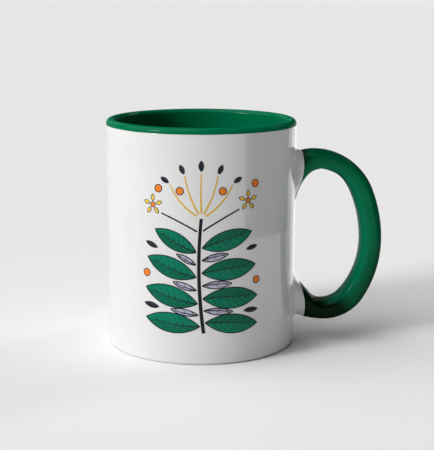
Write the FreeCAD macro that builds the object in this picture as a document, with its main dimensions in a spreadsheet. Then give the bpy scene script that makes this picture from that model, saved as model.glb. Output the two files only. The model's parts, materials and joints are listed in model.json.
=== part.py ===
"""Two-tone ceramic mug, 80 mm across and 96 mm tall, in millimetres.

The cup stands on the plane z = 0 with its axis on Z. The handle points along +X and the printed
face looks along -Y. The white cup and its foot ring carry a green glaze lining that comes over the
rim, and the green handle loop is luted to the wall by a white root at each end. A printed sprig
of leaves and berries lies on the front, its ink in two layers.
"""

import FreeCAD, Part
import math
import os
import Sketcher
from FreeCAD import Vector

SIZES = {
    # The cup
    "BodyRadius": 40.0,
    "BodyHeight": 96.0,
    "WallThickness": 3.8,
    "FloorThickness": 5.0,
    "InsideCornerRadius": 9.0,
    "HeelRadius": 0.9,
    # The unglazed foot ring and the recess under the floor
    "FootRingHeight": 0.3,
    "FootRingWidth": 3.6,
    "FootRecessDepth": 2.2,
    "RecessCornerRadius": 1.2,
    # The green glaze
    "GlazeThickness": 0.4,
    "RimBandHeight": 2.4,
    # The handle, seen from its side: outline, then the thickness of each stretch
    "HandleReach": 37.1,
    "HandleWidth": 13.0,
    "HandleRimGap": 13.2,
    "HandleFootGap": 9.1,
    "UpperArmLength": 7.9,
    "LowerArmLength": 13.0,
    "FingerArmLength": 11.9,
    "UpperArmSweep": 20.0,
    "LowerArmSweep": 39.0,
    "UpperArmThickness": 7.9,
    "LowerArmThickness": 8.2,
    "GripThickness": 8.9,
    "OuterEdgeRound": 4.1,
    "InnerEdgeRound": 3.2,
    "WidestPointShare": 0.469,
    "FingerWidestShare": 0.453,
    "UpperBendShare": 0.916,
    "LowerBendShare": 0.824,
    "FingerBendShare": 0.656,
    # The white roots that carry the handle
    "RootEmbed": 2.0,
    "UpperFlareRun": 6.6,
    "UpperFlareRise": 10.6,
    "LowerFlareRun": 9.1,
    "LowerFlareRise": 10.7,
    "FlareRound": 5.5,
    "UpperGlazeReach": 3.2,
    "UpperGlazeRadius": 26.0,
    "UpperGlazeDrop": 6.4,
    "LowerGlazeReach": 4.6,
    "LowerGlazeRadius": 24.5,
    "LowerGlazeRise": 6.2,
    # The print
    "PrintWidth": 50.0,
    "PrintHeight": 70.0,
    "PrintMiddleHeight": 48.5,
    "InkThickness": 0.12,
    "PrintOverrun": 2.0,
    "StemWidth": 1.5,
    "StemGap": 0.4,
    "TwigWidth": 0.7,
    "VeinWidth": 0.6,
    "BloomRadius": 4.2,
    "BerryRadius": 1.5,
    # How near two places count as one when edges are picked
    "MatchTolerance": 0.0005,
}

# Where the print's figures lie, as shares of its width across and of its height up, both from its
# middle. The stem, a twig and a stalk end with their bow, and a leaf and a bud with their fullness.
# What grows from the stem has its side, how high it leaves the stem, and its tip, and what doesn't
# has its base and its tip.
LEFT, RIGHT = -1, 1
STEM_SHARES = ((0.02, -0.5), (0.0, 0.17), 0.03)
TWIG_SHARES = [(LEFT, 0.095, (-0.325, 0.195), -0.02), (RIGHT, 0.1, (0.31, 0.218), 0.02)]
LEAF_SHARES = [
    (LEFT, -0.46, (-0.47, -0.425), 0.175),
    (RIGHT, -0.437, (0.48, -0.46), 0.175),
    (LEFT, -0.325, (-0.47, -0.245), 0.185),
    (RIGHT, -0.295, (0.48, -0.295), 0.185),
    (LEFT, -0.17, (-0.45, -0.065), 0.185),
    (RIGHT, -0.145, (0.46, -0.11), 0.185),
    (LEFT, -0.025, (-0.38, 0.1), 0.18),
    (RIGHT, 0.0, (0.42, 0.085), 0.18),
]
PALE_LEAF_SHARES = [
    (LEFT, -0.392, (-0.25, -0.362), 0.115),
    (RIGHT, -0.366, (0.26, -0.377), 0.115),
    (LEFT, -0.247, (-0.23, -0.2), 0.125),
    (RIGHT, -0.22, (0.25, -0.209), 0.125),
    (LEFT, -0.098, (-0.2, -0.036), 0.125),
    (RIGHT, -0.072, (0.22, -0.037), 0.125),
]
DARK_LEAF_SHARES = [
    ((-0.345, -0.357), (-0.49, -0.34), 0.17),
    ((0.35, -0.378), (0.49, -0.378), 0.17),
    ((-0.355, -0.008), (-0.47, 0.025), 0.18),
    ((0.37, -0.018), (0.48, 0.0), 0.18),
]
STALK_SHARES = [
    ((-0.035, 0.185), (-0.25, 0.36), 0.08),
    ((-0.018, 0.195), (-0.13, 0.41), 0.05),
    ((0.0, 0.2), (0.0, 0.425), 0.01),
    ((0.018, 0.195), (0.13, 0.41), -0.05),
    ((0.035, 0.185), (0.25, 0.36), -0.08),
]
BUD_SHARES = [
    ((-0.258, 0.37), (-0.33, 0.4), 0.25),
    ((-0.135, 0.42), (-0.17, 0.475), 0.25),
    ((0.0, 0.435), (0.0, 0.5), 0.25),
    ((0.135, 0.42), (0.17, 0.475), 0.25),
    ((0.258, 0.37), (0.33, 0.4), 0.25),
]
BLOOM_SHARES = [(-0.4, 0.24), (0.385, 0.265)]
BERRY_SHARES = [
    (-0.46, -0.16),
    (0.47, -0.203),
    (-0.17, 0.325),
    (0.17, 0.325),
    (-0.35, 0.335),
    (0.45, 0.36),
]
PETAL_COUNT = 5
PETAL_FOOT_SHARE = 0.34
PETAL_FULLNESS_SHARE = 0.26
EYE_SHARE = 0.24
VEIN_LENGTH_SHARE = 0.83
VEIN_BOW_SHARE = 0.03

doc = FreeCAD.newDocument("Mug")


def make_sheet():
    """The driving dimensions, one aliased cell each."""
    sheet = doc.addObject("Spreadsheet::Sheet", "Sizes")
    for row, (alias, value) in enumerate(SIZES.items(), start=1):
        sheet.set(f"A{row}", alias)
        sheet.set(f"B{row}", str(value))
        sheet.setAlias(f"B{row}", alias)
    doc.recompute()
    return sheet


sheet = make_sheet()


def size(alias):
    return float(getattr(sheet, alias))


def tied(text):
    """The expression with each bare alias read from the sheet."""
    words = text.replace("(", " ( ").replace(")", " ) ").split()
    joined = " ".join(f"Sizes.{word}" if word in SIZES else word for word in words)
    return joined.replace("sqrt (", "sqrt(")


def value_of(text):
    found = sheet.evalExpression(tied(text))
    return float(getattr(found, "Value", found))


# Places that several pieces share, as expressions of the sheet
INSIDE_RADIUS = "(BodyRadius - WallThickness)"
LIP_HEIGHT = "(BodyHeight - WallThickness / 2)"
BAND_HEIGHT = "(BodyHeight - RimBandHeight)"
CEILING_HEIGHT = "FootRecessDepth"
FLOOR_HEIGHT = "(FootRecessDepth + FloorThickness)"
RING_OUTER_RADIUS = "(BodyRadius - HeelRadius)"
RING_INNER_RADIUS = "(BodyRadius - HeelRadius - FootRingWidth)"
HANDLE_TOP = "(BodyHeight - HandleRimGap)"
HANDLE_BOTTOM = "HandleFootGap"
FINGER_TOP = "(BodyHeight - HandleRimGap - UpperArmThickness)"
FINGER_BOTTOM = "(HandleFootGap + LowerArmThickness)"


class Outline:
    """A closed outline in a sketch on the XZ plane, drawn end to end and tied to the sheet."""

    def __init__(self, body, name):
        self.sketch = body.newObject("Sketcher::SketchObject", name)
        plane = next(f for f in body.Origin.OriginFeatures if f.Role == "XZ_Plane")
        self.sketch.AttachmentSupport = [(plane, "")]
        self.sketch.MapMode = "FlatFace"
        self.pieces = []
        self.here = None
        self.first = None

    def tie(self, kind, geometry, point, text):
        """Ties one coordinate of a point, or an arc's radius, to an expression."""
        if kind == "Radius":
            made = Sketcher.Constraint(kind, geometry, value_of(text))
        else:
            made = Sketcher.Constraint(kind, -1, 1, geometry, point, value_of(text))
        index = self.sketch.addConstraint(made)
        self.sketch.setExpression(f"Constraints[{index}]", tied(text))

    def tie_corner(self, geometry, point, corner):
        self.tie("DistanceX", geometry, point, corner[0])
        self.tie("DistanceY", geometry, point, corner[1])

    def place(self, corner):
        return Vector(value_of(corner[0]), value_of(corner[1]), 0)

    def add(self, shape, start_point, end_point):
        geometry = self.sketch.addGeometry(shape, False)
        if self.pieces:
            last = self.pieces[-1]
            joint = Sketcher.Constraint("Coincident", last[0], last[2], geometry, start_point)
            self.sketch.addConstraint(joint)
        self.pieces.append((geometry, start_point, end_point))
        return geometry

    def start(self, corner):
        self.first = corner
        self.here = self.place(corner)

    def line(self, corner):
        """A straight run to a corner that the sheet gives."""
        end = self.place(corner)
        geometry = self.add(Part.LineSegment(self.here, end), 1, 2)
        if corner is not self.first:
            self.tie_corner(geometry, 2, corner)
        if len(self.pieces) == 1:
            self.tie_corner(geometry, 1, self.first)
        self.here = end

    def arc(self, corner, centre, turn, tie_centre="DistanceX"):
        """A round run to a corner, about a centre. turn is 1 anticlockwise and -1 clockwise."""
        end = self.place(corner)
        middle = self.place(centre)
        geometry = self.draw_arc(self.here, end, middle, turn)
        end_point = 2 if turn > 0 else 1
        if corner is not self.first:
            self.tie_corner(geometry, end_point, corner)
        wanted = centre[0] if tie_centre == "DistanceX" else centre[1]
        self.tie(tie_centre, geometry, 3, wanted)
        self.here = end

    def draw_arc(self, begin, end, middle, turn):
        circle = Part.Circle(middle, Vector(0, 0, 1), (begin - middle).Length)
        first, last = (begin, end) if turn > 0 else (end, begin)
        arc = Part.ArcOfCircle(circle, angle_of(first - middle), angle_of(last - middle))
        points = (1, 2) if turn > 0 else (2, 1)
        return self.add(arc, *points)

    def bend(self, tip, corner, arm_end, arm_radius, from_arm, turn):
        """A quarter of an oval between an arm's level end and the oval's furthest point.

        The small arc of the arm and the large arc of the grip meet in tangency. arm_radius is an
        expression, and the large arc's centre is level with its furthest point, tip.
        """
        arm, far = self.place(arm_end), self.place(tip)
        small = value_of(arm_radius)
        across, along = abs(far.x - arm.x), abs(far.y - arm.y)
        large = (across**2 + along**2 - 2 * along * small) / (2 * (across - small))
        small_centre = Vector(arm.x, arm.y + math.copysign(small, far.y - arm.y), 0)
        large_centre = Vector(far.x - large, far.y, 0)
        outward = (small_centre - large_centre).normalize()
        meeting = small_centre + outward * small
        start_point, end_point = (1, 2) if turn > 0 else (2, 1)
        if from_arm:
            first = self.draw_arc(self.here, meeting, small_centre, turn)
            second = self.add_tangent(meeting, far, large_centre, turn)
            small_arc, large_arc = first, second
        else:
            first = self.draw_arc(self.here, meeting, large_centre, turn)
            second = self.add_tangent(meeting, arm, small_centre, turn)
            small_arc, large_arc = second, first
        self.tie("Radius", small_arc, 0, arm_radius)
        self.tie("DistanceX", small_arc, 3, arm_end[0])
        self.tie("DistanceY", large_arc, 3, tip[1])
        self.tie_corner(second, end_point, corner)
        self.here = self.place(corner)

    def add_tangent(self, begin, end, middle, turn):
        """An arc that leaves the last one in the same direction."""
        circle = Part.Circle(middle, Vector(0, 0, 1), (begin - middle).Length)
        first, last = (begin, end) if turn > 0 else (end, begin)
        arc = Part.ArcOfCircle(circle, angle_of(first - middle), angle_of(last - middle))
        start_point, end_point = (1, 2) if turn > 0 else (2, 1)
        geometry = self.sketch.addGeometry(arc, False)
        last_piece = self.pieces[-1]
        joint = Sketcher.Constraint("Tangent", last_piece[0], last_piece[2], geometry, start_point)
        self.sketch.addConstraint(joint)
        self.pieces.append((geometry, start_point, end_point))
        return geometry

    def close(self):
        last, first = self.pieces[-1], self.pieces[0]
        joint = Sketcher.Constraint("Coincident", last[0], last[2], first[0], first[1])
        self.sketch.addConstraint(joint)
        return self.sketch


def angle_of(direction):
    return math.atan2(direction.y, direction.x)


def make_body(name):
    body = doc.addObject("PartDesign::Body", name)
    body.Label = name
    return body


def revolve(body, sketch, name):
    turned = body.newObject("PartDesign::Revolution", name)
    turned.Profile = sketch
    turned.ReferenceAxis = (sketch, ["V_Axis"])
    turned.Angle = 360
    doc.recompute()
    return turned


def make_cup_body():
    """The white cup: wall, floor, heel and the recess under the floor."""
    body = make_body("cup_body")
    lip = LIP_HEIGHT
    bed_height = f"{FLOOR_HEIGHT} - GlazeThickness"
    corner_centre = (
        f"{INSIDE_RADIUS} - InsideCornerRadius",
        f"{FLOOR_HEIGHT} + InsideCornerRadius",
    )
    bed_wall = f"{INSIDE_RADIUS} + GlazeThickness"
    lip_centre = ("BodyRadius - WallThickness / 2", lip)
    heel_centre = (RING_OUTER_RADIUS, "FootRingHeight + HeelRadius")
    recess_centre = (
        f"{RING_INNER_RADIUS} - RecessCornerRadius",
        f"{CEILING_HEIGHT} - RecessCornerRadius",
    )
    outline = Outline(body, "CupOutline")
    outline.start(("0", bed_height))
    outline.line((corner_centre[0], bed_height))
    outline.arc((bed_wall, corner_centre[1]), corner_centre, 1)
    outline.line((bed_wall, lip))
    outline.arc(("BodyRadius - GlazeThickness", lip), lip_centre, -1, "DistanceY")
    outline.line(("BodyRadius - GlazeThickness", BAND_HEIGHT))
    outline.line(("BodyRadius", BAND_HEIGHT))
    outline.line(("BodyRadius", heel_centre[1]))
    outline.arc((heel_centre[0], "FootRingHeight"), heel_centre, -1)
    outline.line((RING_INNER_RADIUS, "FootRingHeight"))
    outline.line((RING_INNER_RADIUS, recess_centre[1]))
    outline.arc((recess_centre[0], CEILING_HEIGHT), recess_centre, 1)
    outline.line(("0", CEILING_HEIGHT))
    outline.line(outline.first)
    revolve(body, outline.close(), "CupTurning")
    return body


def make_foot_ring():
    """The unglazed ring that the cup stands on."""
    body = make_body("foot_ring")
    outline = Outline(body, "RingOutline")
    outline.start((RING_INNER_RADIUS, "0"))
    outline.line((RING_OUTER_RADIUS, "0"))
    outline.line((RING_OUTER_RADIUS, "FootRingHeight"))
    outline.line((RING_INNER_RADIUS, "FootRingHeight"))
    outline.line(outline.first)
    revolve(body, outline.close(), "RingTurning")
    return body


def make_green_lining():
    """The green glaze: floor, wall, over the lip and down the outside as a narrow band."""
    body = make_body("green_lining")
    lip = LIP_HEIGHT
    corner_centre = (
        f"{INSIDE_RADIUS} - InsideCornerRadius",
        f"{FLOOR_HEIGHT} + InsideCornerRadius",
    )
    bed_wall = f"{INSIDE_RADIUS} + GlazeThickness"
    bed_height = f"{FLOOR_HEIGHT} - GlazeThickness"
    lip_centre = ("BodyRadius - WallThickness / 2", lip)
    outline = Outline(body, "LiningOutline")
    outline.start(("0", bed_height))
    outline.line((corner_centre[0], bed_height))
    outline.arc((bed_wall, corner_centre[1]), corner_centre, 1)
    outline.line((bed_wall, lip))
    outline.arc(("BodyRadius - GlazeThickness", lip), lip_centre, -1, "DistanceY")
    outline.line(("BodyRadius - GlazeThickness", BAND_HEIGHT))
    outline.line(("BodyRadius", BAND_HEIGHT))
    outline.line(("BodyRadius", lip))
    outline.arc((INSIDE_RADIUS, lip), lip_centre, 1, "DistanceY")
    outline.line((INSIDE_RADIUS, corner_centre[1]))
    outline.arc((corner_centre[0], FLOOR_HEIGHT), corner_centre, -1)
    outline.line(("0", FLOOR_HEIGHT))
    outline.line(outline.first)
    revolve(body, outline.close(), "LiningTurning")
    return body


def make_handle_blank():
    """The whole handle from wall to wall, before it is parted into loop and roots."""
    body = make_body("handle_blank")
    embedded = "BodyRadius - RootEmbed"
    furthest = "BodyRadius + HandleReach"
    finger_furthest = "BodyRadius + HandleReach - GripThickness"
    outer_height = f"({HANDLE_TOP} - {HANDLE_BOTTOM})"
    widest = f"{HANDLE_BOTTOM} + WidestPointShare * {outer_height}"
    finger_widest = (
        f"{FINGER_BOTTOM} + FingerWidestShare * ({FINGER_TOP} - {FINGER_BOTTOM})"
    )
    tip = (furthest, widest)
    finger_tip = (finger_furthest, finger_widest)
    upper_arm_end = ("BodyRadius + UpperArmLength", HANDLE_TOP)
    lower_arm_end = ("BodyRadius + LowerArmLength", HANDLE_BOTTOM)
    finger_top_end = ("BodyRadius + FingerArmLength", FINGER_TOP)
    finger_bottom_end = ("BodyRadius + FingerArmLength", FINGER_BOTTOM)
    upper_flare_depth = "(UpperFlareRise * (1 + RootEmbed / UpperFlareRun))"
    lower_flare_depth = "(LowerFlareRise * (1 + RootEmbed / LowerFlareRun))"
    finger_bend = "FingerBendShare * (HandleReach - GripThickness - FingerArmLength)"
    upper_sweep = arm_sweep("Upper")
    lower_sweep = arm_sweep("Lower")
    outline = Outline(body, "HandleOutline")
    outline.start((embedded, f"{FINGER_TOP} - {upper_flare_depth}"))
    outline.line((embedded, f"{HANDLE_TOP} - {upper_sweep}"))
    upper_centre = (upper_arm_end[0], f"{HANDLE_TOP} - UpperArmSweep")
    outline.arc(upper_arm_end, upper_centre, -1)
    upper_bend = "UpperBendShare * (HandleReach - UpperArmLength)"
    outline.bend(tip, tip, upper_arm_end, upper_bend, True, -1)
    lower_bend = "LowerBendShare * (HandleReach - LowerArmLength)"
    outline.bend(tip, lower_arm_end, lower_arm_end, lower_bend, False, -1)
    lower_centre = (lower_arm_end[0], f"{HANDLE_BOTTOM} + LowerArmSweep")
    outline.arc((embedded, f"{HANDLE_BOTTOM} + {lower_sweep}"), lower_centre, -1)
    outline.line((embedded, f"{FINGER_BOTTOM} + {lower_flare_depth}"))
    outline.line(("BodyRadius + LowerFlareRun", FINGER_BOTTOM))
    outline.line(finger_bottom_end)
    outline.bend(finger_tip, finger_tip, finger_bottom_end, finger_bend, True, 1)
    outline.bend(finger_tip, finger_top_end, finger_top_end, finger_bend, False, 1)
    outline.line(("BodyRadius + UpperFlareRun", FINGER_TOP))
    outline.line(outline.first)
    pad = body.newObject("PartDesign::Pad", "HandlePad")
    pad.Profile = outline.close()
    pad.Midplane = True
    pad.setExpression("Length", tied("HandleWidth"))
    doc.recompute()
    flare = round_edges(body, pad, "FlareFillet", flare_edges(pad.Shape), "FlareRound")
    outer = round_edges(body, flare, "OuterFillet", side_edges(flare.Shape, False), "OuterEdgeRound")
    round_edges(body, outer, "InnerFillet", side_edges(outer.Shape, True), "InnerEdgeRound")
    return body


def arm_sweep(end):
    """How far an arm's outer line has swept in from its level end where it enters the wall."""
    run = f"({end}ArmLength + RootEmbed)"
    return f"({end}ArmSweep - sqrt({end}ArmSweep ^ 2 - {run} ^ 2))"


def round_edges(body, base, name, edges, radius):
    fillet = body.newObject("PartDesign::Fillet", name)
    fillet.Base = (base, edges)
    fillet.setExpression("Radius", tied(radius))
    doc.recompute()
    return fillet


def near(a, b):
    return abs(a - b) < size("MatchTolerance")


def flare_edges(shape):
    """The two edges across the handle where the roots begin to flare."""
    corners = [
        (value_of("BodyRadius + UpperFlareRun"), value_of(FINGER_TOP)),
        (value_of("BodyRadius + LowerFlareRun"), value_of(FINGER_BOTTOM)),
    ]
    found = []
    for number, edge in enumerate(shape.Edges, start=1):
        ends = [v.Point for v in edge.Vertexes]
        if any(all(near(p.x, x) and near(p.z, z) for p in ends) for x, z in corners):
            found.append(f"Edge{number}")
    return found


def side_edges(shape, finger_side):
    """The edges of the handle's two flat sides: those round the finger gap, or the outer ones."""
    half = size("HandleWidth") / 2
    wall = value_of("BodyRadius - RootEmbed")
    reach = value_of("BodyRadius + HandleReach - GripThickness / 2")
    top, bottom = value_of(FINGER_TOP), value_of(FINGER_BOTTOM)
    slack = size("GripThickness") / 4
    found = []
    for number, edge in enumerate(shape.Edges, start=1):
        ends = [v.Point for v in edge.Vertexes]
        if not all(near(abs(p.y), half) for p in ends) or near(ends[0].y, -ends[-1].y):
            continue
        if all(near(p.x, wall) for p in ends):
            continue
        middle = edge.valueAt((edge.FirstParameter + edge.LastParameter) / 2)
        inside = middle.x < reach and bottom - slack < middle.z < top + slack
        if inside == finger_side:
            found.append(f"Edge{number}")
    return found


def make_cylinder(name, radius, height, base=("0", "0", "0"), turn=FreeCAD.Rotation()):
    """A plain cylinder for parting and cutting, its base given as three expressions."""
    made = doc.addObject("Part::Cylinder", name)
    made.setExpression("Radius", tied(radius))
    made.setExpression("Height", tied(height))
    made.Placement.Rotation = turn
    for axis, text in zip("xyz", base):
        made.setExpression(f"Placement.Base.{axis}", tied(text))
    return made


def boolean(kind, name, base, tool):
    made = doc.addObject(f"Part::{kind}", name)
    made.Base = base
    made.Tool = tool
    doc.recompute()
    return made


def make_glaze_lines():
    """The two round cutters whose skins are the lines where green glaze ends at the roots."""
    upper = f"{HANDLE_TOP} - UpperGlazeDrop"
    lower = f"{HANDLE_BOTTOM} + LowerGlazeRise"
    across = FreeCAD.Rotation(Vector(0, 0, 1), Vector(0, 1, 0))
    made = []
    for end, height in (("Upper", upper), ("Lower", lower)):
        radius = f"{end}GlazeRadius"
        base = (f"BodyRadius + {end}GlazeReach - {radius}", "-1 * HandleWidth", height)
        made.append(make_cylinder(f"{end}GlazeLine", radius, "2 * HandleWidth", base, across))
    return made


def make_handle(blank):
    """The green loop and the white roots, parted from one blank so that their sides run on."""
    upper_line, lower_line = make_glaze_lines()
    without_upper = boolean("Cut", "LoopLessUpperRoot", blank, upper_line)
    made = {"handle_loop": boolean("Cut", "LoopBar", without_upper, lower_line)}
    wall = make_cylinder("WallCutter", "BodyRadius", "BodyHeight")
    for name, line in (("upper_root", upper_line), ("lower_root", lower_line)):
        stub = boolean("Common", f"{name}_stub", blank, line)
        made[name] = boolean("Cut", f"{name}_cut", stub, wall)
    return made


def on_wall(place_shares):
    """A place of the flat layout, wrapped on the wall: across and up, as shares of the print."""
    across, up = place_shares
    angle = across * size("PrintWidth") / size("BodyRadius")
    height = size("PrintMiddleHeight") + up * size("PrintHeight")
    return Vector(size("BodyRadius") * math.sin(angle), 0, height)


def beside_stem(side, up):
    """The place just clear of the stem's edge at a height of the layout."""
    (foot, bottom), (head, top), bow = STEM_SHARES
    rise = (up - bottom) / (top - bottom)
    length = (top - bottom) * size("PrintHeight")
    lean = foot + (head - foot) * rise
    lean -= 4 * rise * (1 - rise) * bow * length / size("PrintWidth")
    clear = (size("StemWidth") / 2 + size("StemGap")) / size("PrintWidth")
    return lean + side * clear, up


def leaf_profile(base, tip, fullness):
    """A shape with pointed ends from its base to its tip, made of two arcs."""
    width, height = size("PrintWidth"), size("PrintHeight")
    along = ((tip[0] - base[0]) * width, (tip[1] - base[1]) * height)
    middle = between(base, tip, 1 / 2)
    arcs = []
    for turn in (1, -1):
        bulge = (
            middle[0] - turn * fullness * along[1] / width,
            middle[1] + turn * fullness * along[0] / height,
        )
        arcs.append(Part.Arc(on_wall(base), on_wall(bulge), on_wall(tip)).toShape())
    return Part.Face(Part.Wire(arcs))


def ribbon_profile(base, tip, bow, width):
    """A bowed line of even width between two places of the layout."""
    start, end = on_wall(base), on_wall(tip)
    across = (end - start).cross(Vector(0, 1, 0)).normalize()
    middle = (start + end) / 2 + across * (bow * (end - start).Length)
    half = across * (width / 2)
    near_side = Part.Arc(start - half, middle - half, end - half).toShape()
    far_side = Part.Arc(end + half, middle + half, start + half).toShape()
    foot = Part.LineSegment(start + half, start - half).toShape()
    head = Part.LineSegment(end - half, end + half).toShape()
    return Part.Face(Part.Wire([near_side, head, far_side, foot]))


def disc_profile(centre, radius):
    edge = Part.Circle(on_wall(centre), Vector(0, 1, 0), radius).toShape()
    return Part.Face(Part.Wire([edge]))


def petal_profiles(centre, radius):
    """The pointed petals about a bloom's eye."""
    petals = []
    for number in range(PETAL_COUNT):
        angle = math.tau * number / PETAL_COUNT
        reach = (radius * math.sin(angle), radius * math.cos(angle))
        tip = (centre[0] + reach[0] / size("PrintWidth"), centre[1] + reach[1] / size("PrintHeight"))
        petals.append(leaf_profile(between(centre, tip, PETAL_FOOT_SHARE), tip, PETAL_FULLNESS_SHARE))
    return petals


def make_ink_layers():
    """Two thin rings over the wall: the ground inks, and the line inks printed over them."""
    rings = []
    for number, name in enumerate(("GroundInk", "LineInk")):
        inner = make_cylinder(f"{name}Inside", f"BodyRadius + {number} * InkThickness", "BodyHeight")
        outer_radius = f"BodyRadius + {number + 1} * InkThickness"
        outer = make_cylinder(f"{name}Outside", outer_radius, "BodyHeight")
        rings.append(boolean("Cut", f"{name}Ring", outer, inner))
    return rings


def print_ink(name, profiles, ring):
    """Presses flat profiles on to the front of the wall, as deep as the ring of ink."""
    flat = doc.addObject("Part::Feature", f"{name}_flat")
    flat.Shape = Part.Compound(profiles)
    stamp = doc.addObject("Part::Extrusion", f"{name}_stamp")
    stamp.Base = flat
    stamp.DirMode = "Custom"
    stamp.Dir = Vector(0, -1, 0)
    stamp.Solid = True
    stamp.setExpression("LengthFwd", tied("BodyRadius + PrintOverrun"))
    return boolean("Common", f"{name}_ink", ring, stamp)


def make_print():
    """The sprig: stems, leaves, blooms and berries in the ground inks, with veins over them."""
    ground, lines = make_ink_layers()
    stems = [ribbon_profile(*STEM_SHARES, size("StemWidth"))]
    for side, up, tip, bow in TWIG_SHARES:
        stems.append(ribbon_profile(beside_stem(side, up), tip, bow, size("TwigWidth")))
    stems += [leaf_profile(*shares) for shares in DARK_LEAF_SHARES + BUD_SHARES]
    leaves, pale, veins = [], [], []
    for shares, found in ((LEAF_SHARES, leaves), (PALE_LEAF_SHARES, pale)):
        for side, up, tip, fullness in shares:
            base = beside_stem(side, up)
            found.append(leaf_profile(base, tip, fullness))
            end = between(base, tip, VEIN_LENGTH_SHARE)
            veins.append(ribbon_profile(base, end, VEIN_BOW_SHARE, size("VeinWidth")))
    petals = [ribbon_profile(*shares, size("TwigWidth")) for shares in STALK_SHARES]
    berries = [disc_profile(centre, size("BerryRadius")) for centre in BERRY_SHARES]
    for centre in BLOOM_SHARES:
        petals += petal_profiles(centre, size("BloomRadius"))
        berries.append(disc_profile(centre, size("BloomRadius") * EYE_SHARE))
    return {
        "print_stems": print_ink("print_stems", stems, ground),
        "print_leaves": print_ink("print_leaves", leaves, ground),
        "print_pale_leaves": print_ink("print_pale_leaves", pale, ground),
        "print_petals": print_ink("print_petals", petals, ground),
        "print_berries": print_ink("print_berries", berries, ground),
        "print_veins": print_ink("print_veins", veins, lines),
    }


def between(base, tip, share):
    return tuple(start + (end - start) * share for start, end in zip(base, tip))


def check_objects():
    failed = [o.Name for o in doc.Objects if "Invalid" in o.State or "Error" in o.State]
    if failed:
        raise RuntimeError(f"these objects failed: {failed}")


def export(pieces):
    """Labels each finished piece with its node's name and writes it, once all are sound."""
    doc.recompute()
    check_objects()
    for name, made in pieces.items():
        made.Label = name
        if made.Shape.isNull() or not made.Shape.isValid():
            raise RuntimeError(f"{name} has no sound shape")
    os.makedirs("parts", exist_ok=True)
    for name, made in pieces.items():
        made.Shape.exportStep(f"parts/{name}.step")
        solids = len(made.Shape.Solids)
        print(f"{name}: {solids} solids, {made.Shape.Volume:.1f} cubic mm")


def main():
    pieces = {
        "cup_body": make_cup_body(),
        "foot_ring": make_foot_ring(),
        "green_lining": make_green_lining(),
    }
    pieces.update(make_handle(make_handle_blank()))
    pieces.update(make_print())
    export(pieces)


main()
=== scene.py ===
"""The looks of a two-tone ceramic mug: white and green glazes, bare clay and a fired print.

Lengths are in metres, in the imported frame: +Z up, the handle along +X, the print facing -Y. The
cup, its lining and its foot ring are turned from outlines by one node tree, the print is pressed
on to the wall by another, and the handle is swept between its two outlines.
"""

import json
import math

import bmesh
import bpy
import numpy as np
from mathutils import Matrix, Vector

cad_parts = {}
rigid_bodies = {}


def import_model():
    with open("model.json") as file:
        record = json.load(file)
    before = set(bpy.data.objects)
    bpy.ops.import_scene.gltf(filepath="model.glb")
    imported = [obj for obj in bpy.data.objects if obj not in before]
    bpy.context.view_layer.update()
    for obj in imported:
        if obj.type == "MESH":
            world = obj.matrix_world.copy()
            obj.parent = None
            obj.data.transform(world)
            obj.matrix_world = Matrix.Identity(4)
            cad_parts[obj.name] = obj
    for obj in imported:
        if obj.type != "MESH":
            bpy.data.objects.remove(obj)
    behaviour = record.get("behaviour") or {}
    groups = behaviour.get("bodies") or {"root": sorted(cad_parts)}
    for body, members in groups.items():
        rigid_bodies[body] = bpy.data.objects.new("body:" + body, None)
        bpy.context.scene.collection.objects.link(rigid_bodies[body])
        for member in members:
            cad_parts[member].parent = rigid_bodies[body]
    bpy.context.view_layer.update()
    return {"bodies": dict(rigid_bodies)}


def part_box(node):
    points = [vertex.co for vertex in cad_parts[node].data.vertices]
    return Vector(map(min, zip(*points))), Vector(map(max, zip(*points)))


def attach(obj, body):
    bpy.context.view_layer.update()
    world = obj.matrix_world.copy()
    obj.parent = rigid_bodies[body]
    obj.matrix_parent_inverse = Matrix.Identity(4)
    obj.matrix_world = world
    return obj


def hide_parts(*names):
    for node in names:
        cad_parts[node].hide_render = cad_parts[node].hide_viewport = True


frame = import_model()
ROOT = list(frame["bodies"])[0]
MM = 0.001

# The cup, read from the frame
BODY_RADIUS = float(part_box("cup_body")[1][0])
BODY_HEIGHT = float(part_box("green_lining")[1][2])
FOOT_HEIGHT = float(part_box("foot_ring")[1][2])
FOOT_OUTER = float(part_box("foot_ring")[1][0])
FLOOR_BED = float(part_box("green_lining")[0][2])

# The cup's other sizes, as in the solids
WALL = 3.8 * MM
FOOT_WIDTH = 3.6 * MM
RECESS_DEPTH = 2.2 * MM
RECESS_ROUND = 1.2 * MM
HEEL_ROUND = 0.9 * MM
FLOOR_ROUND = 9.0 * MM
GLAZE = 0.4 * MM
BAND_DROP = 2.4 * MM
GLAZE_BEAD = 0.14 * MM
BEAD_ROUND = 1.3 * GLAZE_BEAD
BEAD_TAPER = 4 * GLAZE_BEAD
GLAZED_EDGE = 0.12 * MM
CLAY_EDGE = 0.16 * MM
WAVE_HEIGHT = 0.16 * MM
WAVE_REACH = 3.0 * MM
WAVE_SEED = 1.0
WAVE_SCALE = 2.6
WAVE_DETAIL = 1.0
EDGE_DEPTH = 1.5 * GLAZE
THIN_LIP = 0.2
RING_INNER = FOOT_OUTER - FOOT_WIDTH
LIP_HEIGHT = BODY_HEIGHT - WALL / 2
LIP_MIDDLE = BODY_RADIUS - WALL / 2
BAND_HEIGHT = BODY_HEIGHT - BAND_DROP
GLAZE_BED = BODY_RADIUS - GLAZE
INNER_CORNER = BODY_RADIUS - WALL - FLOOR_ROUND

# Arcs of the cup's outline that don't start or end level or upright, in degrees
RING_EDGE_END = 300
HEEL_START = 278
BEAD_ARC = (250, 380)
TAPER_END = 8
LIP_START = 12

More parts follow.
